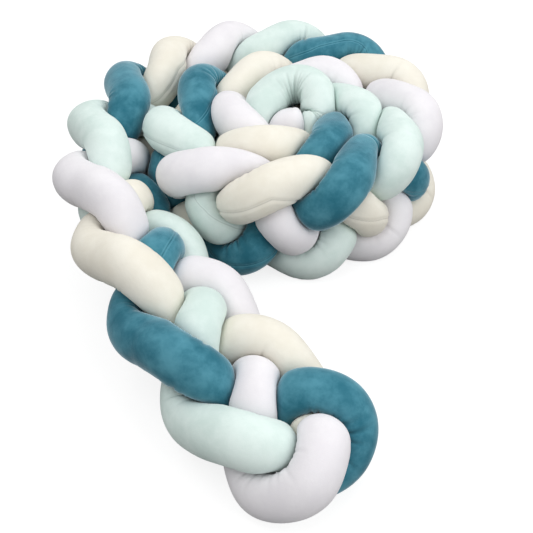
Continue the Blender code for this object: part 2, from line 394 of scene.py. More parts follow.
@dataclass
class SettledLoop:
    """The closed line of all four tubes, which are sewn end to end, drawn and then settled."""

    line: PlaitLine
    step: float = 0.018
    rounds: int = 160
    pressed: float = 0.68
    pulled_tight: float = 0.8
    stiffness: float = 0.12
    hold: float = 0.01
    turn_hold: float = 0.05
    laid_step: float = 0.125
    on_ground: float = 0.8
    own_turn: float = 1.6
    look_out: float = 1.5
    look_again: int = 8
    link_share: float = 0.25
    pushes: int = 2

    def woven_rows(self, colour: Colour) -> np.ndarray:
        """One tube's weave, from the tail to the core.

        Args:
            colour: Which tube.

        Returns:
            Rows of (x, y, z, hold, lobe).
        """
        span = self.line.woven[colour]
        lobe = np.linspace(span.tail, span.core, int((span.core - span.tail) / self.laid_step))
        places = self.line.lay(self.line.weave(colour, lobe))
        return np.column_stack([places, np.full(len(places), self.hold), lobe])

    def turned_rows(self, turns: tuple[Turn, ...], lobe: float) -> np.ndarray:
        """Rows of (x, y, z, hold, lobe) along a turn, all counted as the lobe that it leaves from."""
        return np.array([(*turn, self.turn_hold, lobe) for turn in turns])

    def drawn(self) -> list[tuple[Colour, np.ndarray]]:
        """Draws the four tubes as they are laid.

        Returns:
            Each tube's rows in their order round the loop, from the white tube's tail end.
        """
        first, last = self.line.stations[1].lobe, self.line.stations[-2].lobe
        white, mint = self.woven_rows(Colour.WHITE), self.woven_rows(Colour.MINT)
        teal, cream = self.woven_rows(Colour.TEAL), self.woven_rows(Colour.CREAM)
        white = [self.turned_rows(WHITE_TAIL, first), white, self.turned_rows(WHITE_CORE, last)]
        cream = [self.turned_rows(CREAM_CORE, last), cream[::-1], self.turned_rows(CREAM_TAIL, first)]
        return [
            (Colour.WHITE, np.vstack(white)),
            (Colour.MINT, np.vstack([self.turned_rows(MINT_CORE, last), mint[::-1]])),
            (Colour.TEAL, np.vstack([self.turned_rows(TEAL_TAIL, first), teal])),
            (Colour.CREAM, np.vstack(cream)),
        ]

    @staticmethod
    def respaced(rows: np.ndarray, starts: np.ndarray, count: int) -> tuple[np.ndarray, np.ndarray]:
        """Evenly spaced rows of the closed line.

        Args:
            rows: The line's rows, of which the first three columns are places.
            starts: Row numbers at which the tubes start.
            count: How many rows to make.

        Returns:
            The new rows, and the places of `starts` among them.
        """
        closed = np.vstack([rows, rows[:1]])
        steps = np.linalg.norm(np.diff(closed[:, :3], axis=0), axis=1)
        travelled = np.concatenate([[0], np.cumsum(steps)])
        at = np.linspace(0, travelled[-1], count, endpoint=False)
        even = np.column_stack([np.interp(at, travelled, column) for column in closed.T])
        places = np.interp(starts, np.arange(len(closed)), travelled) / travelled[-1] * count
        return even, places

    @staticmethod
    def pushed_apart(points: np.ndarray, first: np.ndarray, second: np.ndarray, least: float) -> np.ndarray:
        """Moves points that press too close.

        Args:
            points: All the points.
            first: The number of the first point of each pair to look at.
            second: The number of the second point of each.
            least: How near the two may be.

        Returns:
            The points, moved.
        """
        apart = points[first] - points[second]
        distance = np.linalg.norm(apart, axis=1)
        close = distance < least
        push = (0.5 * (least - distance[close]) / distance[close])[:, None] * apart[close]
        total = np.zeros_like(points)
        count = np.zeros(len(points))
        for numbers, way in ((first[close], 1), (second[close], -1)):
            np.add.at(total, numbers, way * push)
            np.add.at(count, numbers, 1)
        return points + total / np.maximum(count, 1)[:, None]

    def settled(self, drawn: np.ndarray, hold: np.ndarray) -> np.ndarray:
        """Pulls the loop tight, while it stays smooth, keeps off itself and rests on the floor.

        Args:
            drawn: The loop's points as laid.
            hold: How strongly each is held to where it was laid.

        Returns:
            The points, settled.
        """
        sizes = self.line.sizes
        points = drawn
        count = len(points)
        step = closed_length(points) / count * self.pulled_tight
        index = np.arange(count)
        turns = np.abs(index[:, None] - index[None, :])
        turns = np.minimum(turns, count - turns)
        may_touch = (turns * self.step > self.own_turn * sizes.tube) & (index[:, None] < index[None, :])
        least = sizes.tube * self.pressed
        for number in range(self.rounds):
            if number % self.look_again == 0:
                distance = np.linalg.norm(points[:, None] - points[None, :], axis=2)
                first, second = np.nonzero(may_touch & (distance < self.look_out * least))
            bend = np.roll(points, 1, axis=0) - 2 * points + np.roll(points, -1, axis=0)
            spread = 2 * bend - np.roll(bend, 1, axis=0) - np.roll(bend, -1, axis=0)
            points = points + self.stiffness * spread + hold * (drawn - points)
            for parity in (0, 1):
                here = index[parity::2]
                after = (here + 1) % count
                link = points[after] - points[here]
                length = np.linalg.norm(link, axis=1)[:, None]
                correction = self.link_share * (length - step) / length * link
                np.add.at(points, here, correction)
                np.add.at(points, after, -correction)
            for _ in range(self.pushes):
                points = self.pushed_apart(points, first, second, least)
            points[:, 2] = np.maximum(points[:, 2], self.on_ground * sizes.radius)
        return points

    def build(self) -> tuple[np.ndarray, np.ndarray, dict[Colour, tuple[float, float]]]:
        """Draws and settles the loop.

        Returns:
            Its points, the lobe of each point, and each tube's first and last place on it.
        """
        parts = self.drawn()
        rows = np.vstack([rows for _, rows in parts])
        starts = np.cumsum([0] + [len(rows) for _, rows in parts])
        count = int(closed_length(rows[:, :3]) / self.step)
        even, places = self.respaced(rows, starts, count)
        spans = {colour: (places[i], places[i + 1]) for i, (colour, _) in enumerate(parts)}
        return self.settled(even[:, :3], even[:, 3:4]), even[:, 4], spans


class TubePath(NamedTuple):
    """One tube's centre line, ring by ring, and what surrounds it."""

    centres: np.ndarray
    along: np.ndarray
    side: np.ndarray
    other: np.ndarray
    lobe: np.ndarray
    travelled: np.ndarray
    rays: np.ndarray
    reach: np.ndarray

    @property
    def sides(self) -> int:
        """Number of rays in each ring."""
        return self.rays.shape[1]

    @property
    def floor_reach(self) -> np.ndarray:
        """How far each ray runs before it meets the floor."""
        return self.centres[:, 2:] / np.maximum(-self.rays[:, :, 2], TINY)

    def surface(self, length: np.ndarray) -> np.ndarray:
        """Places at the given distance along each ray."""
        return self.centres[:, None] + self.rays * length[:, :, None]


@dataclass
class TubeRoute:
    """Finds a tube's rings on the settled loop, and how far each may swell before it meets something."""

    sizes: PlaitSizes
    sides: int = 64
    ring_step: float = 0.004
    crowding: float = 1.1
    crowd_from: float = 0.35
    crowd_full: float = 0.85
    sample: float = 0.004
    press_reach: float = 1.45
    own: float = 0.03
    cuff: float = 0.0015
    bend_over: int = 3

    @staticmethod
    def carried(along: np.ndarray) -> tuple[np.ndarray, np.ndarray]:
        """Carries two directions square to the line along it without twist.

        Args:
            along: The line's direction at each ring.

        Returns:
            The two directions at each ring.
        """
        side = np.zeros_like(along)
        side[0] = unit(np.cross(along[0], (0.0, 0.0, 1.0)))
        for i in range(1, len(along)):
            side[i] = unit(side[i - 1] - along[i] * np.dot(side[i - 1], along[i]))
        return side, np.cross(along, side)

    def free_reach(
        self, centres: np.ndarray, rays: np.ndarray, places: np.ndarray, samples: np.ndarray
    ) -> np.ndarray:
        """How far each ray runs before it is as near to another stretch of the loop as to its own.

        Args:
            centres: The rings' centres.
            rays: Directions of each ring's rays.
            places: Where each ring stands among the samples.
            samples: Points all along the loop.

        Returns:
            One row for each ring, with one distance for each of its rays.
        """
        count = len(samples)
        numbers = np.arange(count)
        reach = np.full(rays.shape[:2], np.inf)
        near = self.press_reach * self.sizes.tube
        for i, centre in enumerate(centres):
            toward = samples - centre
            away = np.abs(numbers - places[i])
            away = np.minimum(away, count - away)
            pressing = toward[((toward**2).sum(axis=1) < near**2) & (away > self.own / self.sample)]
            if len(pressing):
                facing = rays[i] @ pressing.T + self.sizes.gap
                limit = (pressing**2).sum(axis=1) - self.sizes.gap**2
                reach[i] = (limit[None, :] / (2 * np.maximum(facing, TINY))).min(axis=1)
        return reach

    def seam_reach(
        self, centres: np.ndarray, rays: np.ndarray, seam: np.ndarray, inward: np.ndarray
    ) -> np.ndarray:
        """How far each ray runs before it meets the plane of a sewn join, on the rings beside it.

        Args:
            centres: The rings' centres.
            rays: Directions of each ring's rays.
            seam: The middle of the join.
            inward: The direction from the join into the tube.

        Returns:
            One row for each ring, with one distance for each of its rays.
        """
        ahead = (centres - seam) @ inward
        beside = (ahead > self.cuff) & (np.linalg.norm(centres - seam, axis=1) < self.sizes.tube)
        limit = ahead[:, None] / np.maximum(-(rays @ inward), TINY)
        return np.where(beside[:, None], limit, np.inf)

    def path(self, loop: np.ndarray, lobes: np.ndarray, start: float, end: float) -> TubePath:
        """One tube's rings, from one sewn end to the other.

        Args:
            loop: The settled loop's points.
            lobes: The lobe of each point.
            start: The tube's first place on the loop.
            end: Its last place.

        Returns:
            The rings' centres and directions, and how far each of their rays may run.
        """
        samples = smooth_closed(loop, int(closed_length(loop) / self.sample))
        scale = len(samples) / len(loop)
        length = (end - start) * closed_length(loop) / len(loop)
        places = self.places(samples, start * scale, end * scale, length)
        along = unit(read_closed(np.roll(samples, -1, axis=0) - np.roll(samples, 1, axis=0), places))
        centres = read_closed(samples, places)
        centres[0] += along[0] * self.sizes.gap / 2
        centres[-1] -= along[-1] * self.sizes.gap / 2
        side, other = self.carried(along)
        angle = round_angles(self.sides)
        rays = side[:, None] * np.cos(angle)[:, None] + other[:, None] * np.sin(angle)[:, None]
        reach = self.free_reach(centres, rays, places % len(samples), samples)
        reach = np.minimum(reach, self.seam_reach(centres, rays, centres[0], along[0]))
        reach = np.minimum(reach, self.seam_reach(centres, rays, centres[-1], -along[-1]))
        lobe = read_closed(lobes[:, None], places / scale)[:, 0]
        travelled = (places - places[0]) / (places[-1] - places[0]) * length
        return TubePath(centres, along, side, other, lobe, travelled, rays, reach)

    def places(self, samples: np.ndarray, start: float, end: float, length: float) -> np.ndarray:
        """Where the rings stand on the sampled loop, closer together in its tight bends.

        Args:
            samples: Points all along the loop.
            start: The tube's first place among them.
            end: Its last place.
            length: The tube's length in metres.

        Returns:
            One place for each ring.
        """
        span = np.linspace(start, end, int(length / self.sample))
        ahead, behind = (np.roll(samples, way * self.bend_over, axis=0) for way in (-1, 1))
        along = unit(read_closed(ahead - behind, span))
        bend = np.linalg.norm(np.gradient(along, self.sample, axis=0), axis=1) * self.sizes.radius
        crowd = evened(1 + self.crowding * eased(bend, self.crowd_from, self.crowd_full))
        passed = np.concatenate([[0], np.cumsum((crowd[1:] + crowd[:-1]) / 2)])
        count = int(passed[-1] * self.sample / self.ring_step)
        return np.interp(np.linspace(0, passed[-1], count), passed, span)


class Skin(NamedTuple):
    """One tube's surface as distances from its centre line, with the masks that its velvet reads."""

    length: np.ndarray
    seam: np.ndarray
    pinch: np.ndarray


@dataclass
class Stuffing:
    """How the filling rounds out a tube: squeezed where it presses and swollen where it doesn't."""

    sizes: PlaitSizes
    rounding: float = 9.0
    girth_rounds: int = 5
    most_swell: float = 1.07
    lump_depth: float = 0.0007
    lump_run: tuple[float, float] = (0.05, 0.16)
    lumps_round: tuple[int, ...] = (0, 1, 1, 2, 2, 3, 3, 4)
    end_run: float = 0.016
    end_share: float = 0.62
    blur: int = 2

    def lumps(self, path: TubePath, seed: int) -> np.ndarray:
        """Low, soft unevenness of the filling.

        Args:
            path: The tube's path.
            seed: Starts the lumps' uneven places.

        Returns:
            One row for each ring, with a height in metres for each of its rays.
        """
        random = np.random.default_rng(seed)
        angle = round_angles(path.sides)
        made = np.zeros((len(path.travelled), path.sides))
        for number in self.lumps_round:
            wave = random.uniform(*self.lump_run)
            phase, slant = random.uniform(0, 2 * math.pi, 2)
            turn = 2 * math.pi * path.travelled / wave + phase
            made += np.cos(turn)[:, None] * np.cos(number * angle + slant)[None, :]
        return self.lump_depth * made / 2

    def ends(self, path: TubePath) -> np.ndarray:
        """How much a tube is drawn in toward its sewn ends.

        Args:
            path: The tube's path.

        Returns:
            The share of its radius that each ring keeps.
        """
        from_end = np.minimum(path.travelled, path.travelled[-1] - path.travelled)
        run = np.clip(1 - from_end / self.end_run, 0, 1)
        return (self.end_share + (1 - self.end_share) * np.sqrt(1 - run**2))[:, None]

    def fill(self, path: TubePath, seed: int) -> np.ndarray:
        """Distance from the centre line to the surface along each ray, at one girth throughout.

        Args:
            path: The tube's path.
            seed: Starts the lumps' uneven places.

        Returns:
            One row for each ring, with one distance for each of its rays.
        """
        radius = self.sizes.radius * self.ends(path) + self.lumps(path, seed)
        reach = np.minimum(path.reach, path.floor_reach)
        girth = 2 * math.pi * self.sizes.radius * self.ends(path)
        swell = np.ones((len(radius), 1))
        for _ in range(self.girth_rounds):
            length = ((swell * radius) ** -self.rounding + path.reach**-self.rounding) ** (-1 / self.rounding)
            length = np.minimum(self.blurred(length), reach)
            ring = path.rays * length[:, :, None]
            around = np.linalg.norm(np.roll(ring, -1, axis=1) - ring, axis=2).sum(axis=1, keepdims=True)
            swell = np.clip(swell * girth / around, 1.0, self.most_swell)
        return length

    def blurred(self, table: np.ndarray) -> np.ndarray:
        """Softens the sharp edges of a surface.

        Args:
            table: One row for each ring, with one distance for each of its rays.

        Returns:
            The table, softened.
        """
        for _ in range(self.blur):
            table = (np.roll(table, 1, axis=1) + 2 * table + np.roll(table, -1, axis=1)) / 4
            table[1:-1] = (table[:-2] + 2 * table[1:-1] + table[2:]) / 4
        return table


@dataclass
class Gathers:
    """Folds of spare cloth on the inner side of a tight bend.

    A fold's `least` and `most` are its share of the depth, its middle and its half opening in
    radians round the tube, and its slant in metres for each radian.
    """

    depth: float = 0.0045
    tuck: float = 0.005
    tuck_to: float = 1.5
    tuck_full: float = 0.2
    pitch: float = 0.0085
    pitch_share: tuple[float, float] = (0.6, 1.5)
    width: float = 0.002
    loose_from: float = 0.3
    loose_full: float = 0.72
    least: tuple[float, ...] = (0.4, -0.3, 1.5, -0.003)
    most: tuple[float, ...] = (1.0, 0.3, 2.7, 0.003)
    fade_from: float = 0.4
    valley_ends: float = 5.0

    def carve(self, path: TubePath, length: np.ndarray, seed: int) -> tuple[np.ndarray, np.ndarray]:
        """Draws the inner side of each bend in, and cuts the folds' valleys into it.

        Args:
            path: The tube's path.
            length: Distance from the centre line to the surface along each ray.
            seed: Starts the folds' uneven places and depths.

        Returns:
            The depth cut from each ray of each ring, and how deep in a fold it lies, from 0 to 1.
        """
        random = np.random.default_rng(seed)
        angle = round_angles(path.sides)
        bend = np.gradient(path.along, path.travelled, axis=0)
        bend_side = evened((bend * path.side).sum(axis=1))
        bend_other = evened((bend * path.other).sum(axis=1))
        inner = np.arctan2(bend_other, bend_side)
        loose = eased(np.hypot(bend_side, bend_other) * length.mean(axis=1), self.loose_from, self.loose_full)
        from_inner = np.abs(wrapped(angle[None, :] - inner[:, None]))
        drawn_in = self.tuck * loose[:, None] * eased(-from_inner, -self.tuck_to, -self.tuck_full)
        cut = np.zeros_like(length)
        at = self.pitch
        while at < path.travelled[-1] - self.pitch:
            i = int(np.searchsorted(path.travelled, at))
            share, middle, open_to, slant = random.uniform(self.least, self.most)
            around = wrapped(angle - inner[i] - middle)
            open_to *= 0.5 + 0.5 * loose[i]
            fade = 1 - eased(np.abs(around), self.fade_from * open_to, open_to)
            near = np.abs(path.travelled - at) < self.valley_ends * self.width
            shifted = path.travelled[near, None] - at - slant * around[None, :]
            valley = np.exp(-((shifted / self.width) ** 2)) * fade[None, :]
            cut[near] = np.maximum(cut[near], loose[i] * share * valley)
            at += self.pitch * random.uniform(*self.pitch_share)
        return drawn_in + self.depth * cut, cut


@dataclass
class LengthSeam:
    """The seam that closes a tube lengthwise, a shallow groove between two soft rolls of cloth."""

    places: tuple[SeamPlace, ...]
    depth: float = 0.0016
    width: float = 0.0022
    roll: float = 0.0005
    roll_at: float = 0.0055

    def carve(self, path: TubePath, length: np.ndarray) -> tuple[np.ndarray, np.ndarray]:
        """Cuts the groove.

        Args:
            path: The tube's path.
            length: Distance from the centre line to the surface along each ray.

        Returns:
            The depth cut from each ray of each ring, and its signed distance from the seam.
        """
        up = np.arctan2(path.other[:, 2], path.side[:, 2])
        lobes = [place.lobe for place in self.places]
        facing = np.radians([place.facing for place in self.places])
        seam = np.unwrap(up) + np.interp(path.lobe, lobes, facing)
        distance = wrapped(round_angles(path.sides)[None, :] - seam[:, None]) * length
        groove = self.depth * np.exp(-((distance / self.width) ** 2))
        rolls = self.roll * np.exp(-(((np.abs(distance) - self.roll_at) / self.width) ** 2))
        return groove - rolls, distance


class VelvetGroups:
    """Shader node groups that the four velvets share, each built once."""

    marks_finer: float = 3.7
    clumps_coarser: float = 0.22
    beside_seam: float = 0.008
    # half width of the painted highlight band just outside the stitch line
    half_highlight_band: float = 0.0009

    def __init__(self) -> None:
        """Builds the groups."""
        self.nap = self._nap()
        self.pile = self._pile()
        self.painted_shade_and_highlight = self._painted_shade_and_highlight()

    @staticmethod
    def _open(
        name: str, inputs: dict[str, float | None], outputs: tuple[str, ...]
    ) -> tuple[Tree, bpy.types.NodeOutputs, Node]:
        """Starts a node group.

        Args:
            name: The group's name.
            inputs: The value that each input starts at, or None for a vector.
            outputs: Names of the values that it puts out.

        Returns:
            The group, the sockets that its inputs arrive at, and the node that takes what it puts out.
        """
        tree = bpy.data.node_groups.new(name, "ShaderNodeTree")
        for socket, value in inputs.items():
            kind = "NodeSocketVector" if value is None else "NodeSocketFloat"
            made = tree.interface.new_socket(socket, in_out="INPUT", socket_type=kind)
            if value is not None:
                made.default_value = value
        for socket in outputs:
            tree.interface.new_socket(socket, in_out="OUTPUT", socket_type="NodeSocketFloat")
        return tree, tree.nodes.new("NodeGroupInput").outputs, tree.nodes.new("NodeGroupOutput")

    def _nap(self) -> Tree:
        """Soft patches where the pile leans another way.

        Returns:
            The group, whose Lean goes from 0 for dark to 1 for light.
        """
        inputs = {"Place": None, "Scale": 16.0, "Marks": 0.4}
        tree, given, result = self._open("brushed_nap", inputs, ("Lean",))
        place = {"Vector": given["Place"]}
        soft = {"Scale": given["Scale"], "Detail": 3.0, "Roughness": 0.45, "Distortion": 0.15}
        patches = add(tree, "TexNoise", place | soft)
        finer = add(tree, "Math", {0: given["Scale"], 1: self.marks_finer}, operation="MULTIPLY")
        sharp = {"Scale": finer.outputs[0], "Detail": 4.0, "Roughness": 0.6, "Distortion": 0.1}
        marks = add(tree, "TexNoise", place | sharp)
        both = {"Factor": given["Marks"], "A": patches.outputs["Fac"], "B": marks.outputs["Fac"]}
        spread = {"Value": add(tree, "Mix", both).outputs["Result"], "From Min": 0.34, "From Max": 0.66}
        lean = add(tree, "MapRange", spread, interpolation_type="SMOOTHSTEP")
        feed(tree, result, {"Lean": lean.outputs["Result"]})
        return tree

    def _pile(self) -> Tree:
        """The short pile itself.

        Returns:
            The group, which gives the fine tufts' height and the tone of the clumps that they form.
        """
        tree, given, result = self._open("short_pile", {"Place": None, "Tufts": 900.0}, ("Height", "Tone"))
        place = {"Vector": given["Place"]}
        tufts = add(tree, "TexNoise", place | {"Scale": given["Tufts"], "Detail": 2.0, "Roughness": 0.7})
        coarser = add(tree, "Math", {0: given["Tufts"], 1: self.clumps_coarser}, operation="MULTIPLY")
        clumps = add(tree, "TexNoise", place | {"Scale": coarser.outputs[0], "Detail": 3.0}).outputs["Fac"]
        height = add(tree, "Math", {0: tufts.outputs["Fac"], 1: clumps}, operation="ADD")
        feed(tree, result, {"Height": height.outputs[0], "Tone": clumps})
        return tree

    def _painted_shade_and_highlight(self) -> Tree:
        """Painted shade in the stitch line and in the folds' valleys, and a painted highlight beside the
        line.

        Returns:
            The group, which gives the painted shade in the stitch line and the folds, and the painted
            highlight on the ridges of cloth beside the line.
        """
        seam_inputs = {"Distance": 1.0, "Away": 1.0, "Pinch": 0.0, "Line": 0.0011}
        shade_inputs = {"Seam Shade": 0.3, "Fold Shade": 0.25}
        tree, given, result = self._open("sewn_shade", seam_inputs | shade_inputs, ("Shade", "Ridge Highlight"))
        # painted shade: the colour is darkened along the stitch line, only near the seam, where shade falls
        # in its groove
        distance = add(tree, "Math", {0: given["Distance"]}, operation="ABSOLUTE").outputs[0]
        falling = {"Value": distance, "From Max": given["Line"], "To Min": given["Seam Shade"], "To Max": 0.0}
        line = add(tree, "MapRange", falling, interpolation_type="SMOOTHSTEP").outputs["Result"]
        beside = add(tree, "Math", {0: given["Away"], 1: self.beside_seam}, operation="LESS_THAN").outputs[0]
        seam = add(tree, "Math", {0: line, 1: beside}, operation="MULTIPLY").outputs[0]
        # painted shade: the fold valleys (Pinch) are darkened in colour as well, standing in for the shade
        # inside the gathers
        folded = {0: given["Pinch"], 1: given["Fold Shade"], 2: seam}
        shade = add(tree, "Math", folded, operation="MULTIPLY_ADD").outputs[0]
        # painted highlight: a thin band just outside the stitch line is lightened, standing in for light
        # catching the rolls of cloth beside it
        past = add(tree, "Math", {0: distance, 1: given["Line"]}, operation="SUBTRACT").outputs[0]
        near_highlight_band = {0: past, 1: self.half_highlight_band, 2: self.half_highlight_band}
        on_highlight_band = add(tree, "Math", near_highlight_band, operation="COMPARE").outputs[0]
        ridge_highlight = add(tree, "Math", {0: on_highlight_band, 1: beside}, operation="MULTIPLY").outputs[0]
        feed(tree, result, {"Shade": shade, "Ridge Highlight": ridge_highlight})
        return tree


@dataclass(frozen=True)
class VelvetFinish:
    """One velvet: its colours in full, brushed light and brushed dark, and how its pile shines."""

    base: Rgb
    light: Rgb
    dark: Rgb
    sheen: float
    sheen_tint: Rgb
    patchiness: float
    nap_scale: float = 15.0
    nap_marks: float = 0.4
    # how strongly the fold valleys get painted shade
    fold_shade: float = 0.25
    # share of the dark colour used as the painted shade in the stitch line and the folds
    painted_shade_share: float = 0.4
    # strength of the painted highlight beside the seam
    ridge_highlight: float = 0.35
    roughness: float = 0.85
    roughness_range: float = 0.08
    sheen_roughness: float = 0.4
    specular: float = 0.2
    tuft_strength: float = 0.25
    tuft_height: float = 0.0006

    @staticmethod
    def mixed(tree: Tree, share: float | Socket, first: Rgb | Socket, second: Rgb | Socket) -> Socket:
        """Mixes two colours.

        Args:
            tree: The material's node tree.
            share: How much of the second, as a number or a socket.
            first: A colour or a socket that gives one.
            second: The other.

        Returns:
            The socket that gives the mixed colour.
        """
        first, second = ((*part, 1.0) if isinstance(part, tuple) else part for part in (first, second))
        feeds = {"Factor": share, "A": first, "B": second}
        return add(tree, "Mix", feeds, data_type="RGBA").outputs["Result"]

    def tone(self, tree: Tree, place: Socket, groups: VelvetGroups) -> Socket:
        """The velvet's colour all over: brushed patches, a painted highlight on the ridges beside the seam,
        and painted shade in the stitch line and the folds.

        Args:
            tree: The material's node tree.
            place: The socket that gives places on the tube.
            groups: The shared node groups.

        Returns:
            The socket that gives the colour.
        """
        brushing = {"Place": place, "Scale": self.nap_scale, "Marks": self.nap_marks}
        nap = add(tree, "Group", brushing, node_tree=groups.nap)
        painted_shade_and_highlight = add(tree, "Group", {"Fold Shade": self.fold_shade}, node_tree=groups.painted_shade_and_highlight)
        for socket, name in (("Distance", "seam_distance"), ("Away", "seam_away"), ("Pinch", "pinch")):
            read = add(tree, "Attribute", attribute_name=name)
            feed(tree, painted_shade_and_highlight, {socket: read.outputs["Fac"]})
        brushed = self.mixed(tree, nap.outputs["Lean"], self.dark, self.light)
        body = self.mixed(tree, self.patchiness, self.base, brushed)
        # painted highlight: the band beside the seam is mixed toward the light colour
        ridge_highlight = add(tree, "Math", {0: painted_shade_and_highlight.outputs["Ridge Highlight"], 1: self.ridge_highlight}, operation="MULTIPLY")
        ridge_highlighted = self.mixed(tree, ridge_highlight.outputs[0], body, self.light)
        # painted shade: the stitch line and the fold valleys are mixed toward a darker share of the dark
        # colour
        painted_shade_colour = tuple(self.painted_shade_share * part for part in self.dark)
        return self.mixed(tree, painted_shade_and_highlight.outputs["Shade"], ridge_highlighted, painted_shade_colour)

    def material(self, name: str, groups: VelvetGroups) -> bpy.types.Material:
        """The velvet as a material.

        Args:
            name: What to call it.
            groups: The shared node groups.

        Returns:
            The new material.
        """
        made = bpy.data.materials.new(name)
        made.use_nodes = True
        tree = made.node_tree
        place = add(tree, "TexCoord").outputs["Object"]
        pile = add(tree, "Group", {"Place": place}, node_tree=groups.pile)
        least, most = self.roughness - self.roughness_range, self.roughness + self.roughness_range
        rough = add(tree, "MapRange", {"Value": pile.outputs["Tone"], "To Min": least, "To Max": most})
        tufts = {"Strength": self.tuft_strength, "Distance": self.tuft_height}
        bump = add(tree, "Bump", tufts | {"Height": pile.outputs["Height"]})
        look = {
            "Base Color": self.tone(tree, place, groups),
            "Roughness": rough.outputs["Result"],
            "Normal": bump.outputs["Normal"],
            "Metallic": 0.0,
            "Specular IOR Level": self.specular,
            "Sheen Weight": self.sheen,
            "Sheen Roughness": self.sheen_roughness,
            "Sheen Tint": (*self.sheen_tint, 1.0),
        }
        feed(tree, tree.nodes["Principled BSDF"], look)
        return made


@dataclass
class VelvetTube:
    """One stuffed tube of velvet, from one sewn end to the other."""

    colour: Colour
    finish: VelvetFinish
    seam: LengthSeam
    stuffing: Stuffing
    gathers: Gathers
    fill: float = 0.75
    most_proud: float = 0.001
    first_seed: int = 11
    fold_seed: int = 20

    def skin(self, path: TubePath) -> Skin:
        """The tube's surface along the rays of its rings.

        Args:
            path: The tube's path.

        Returns:
            The distances to its surface, with the masks that its velvet reads.
        """
        seed = self.first_seed + self.colour.place
        full = self.stuffing.fill(path, seed)
        folds, pinch = self.gathers.carve(path, full, seed + self.fold_seed)
        groove, distance = self.seam.carve(path, full)
        length = np.minimum(full - folds - groove, np.minimum(path.reach, full + self.most_proud))
        return Skin(np.minimum(length, path.floor_reach), distance, pinch)

    def build(self, path: TubePath, skin: Skin, shift: np.ndarray) -> bpy.types.Object:
        """Makes the tube's mesh.

        Args:
            path: The tube's path.
            skin: Its surface.
            shift: Taken from every place, to bring the tube to the construction's place.

        Returns:
            The new object.
        """
        rings = path.surface(skin.length) - shift
        points = np.vstack([rings.reshape(-1, 3), rings[0].mean(axis=0), rings[-1].mean(axis=0)])
        mesh = bpy.data.meshes.new(f"{self.colour.value}_velvet_tube")
        mesh.from_pydata(points.tolist(), [], self.faces(len(rings), path.sides))
        mesh.shade_smooth()
        # seam_distance and seam_away place the seam's painted shade and painted highlight; pinch places the
        # painted shade in the folds
        masks = {"seam_distance": skin.seam, "seam_away": np.abs(skin.seam), "pinch": skin.pinch}
        for name, values in masks.items():
            layer = mesh.attributes.new(name, "FLOAT", "POINT")
            layer.data.foreach_set("value", np.append(values.reshape(-1), [0.0, 0.0]).astype(np.float32))
        made = bpy.data.objects.new(mesh.name, mesh)
        bpy.context.scene.collection.objects.link(made)
        return made

    @staticmethod
    def faces(count: int, sides: int) -> list[tuple[int, ...]]:
        """Quads of the tube's wall and a fan of triangles on each end.

        Args:
            count: How many rings the tube has.
            sides: How many points each ring has.

        Returns:
            The vertex numbers of each face.
        """
        made = []
        for ring in range(count - 1):
            for side in range(sides):
                after = (side + 1) % sides
                a, b = ring * sides + side, ring * sides + after
                made.append((a, b, b + sides, a + sides))
        first, last = count * sides, count * sides + 1
        top = (count - 1) * sides
        made += [(first, (side + 1) % sides, side) for side in range(sides)]
        made += [(last, top + side, top + (side + 1) % sides) for side in range(sides)]
        return made

    def dress(self, piece: bpy.types.Object, groups: VelvetGroups) -> None:
        """Gives the tube its velvet, and says what it stands for.

        Args:
            piece: The tube's object.
            groups: The shared node groups.
        """
        piece.data.materials.append(self.finish.material(f"{self.colour.value}_velvet", groups))
        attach(piece, BODY)
        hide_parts(f"tube_{self.colour.value}")


class SoftLight(NamedTuple):
    """One square soft light that faces the bumper."""

    name: str
    place: tuple[float, float, float]
    size: float
    watts: float


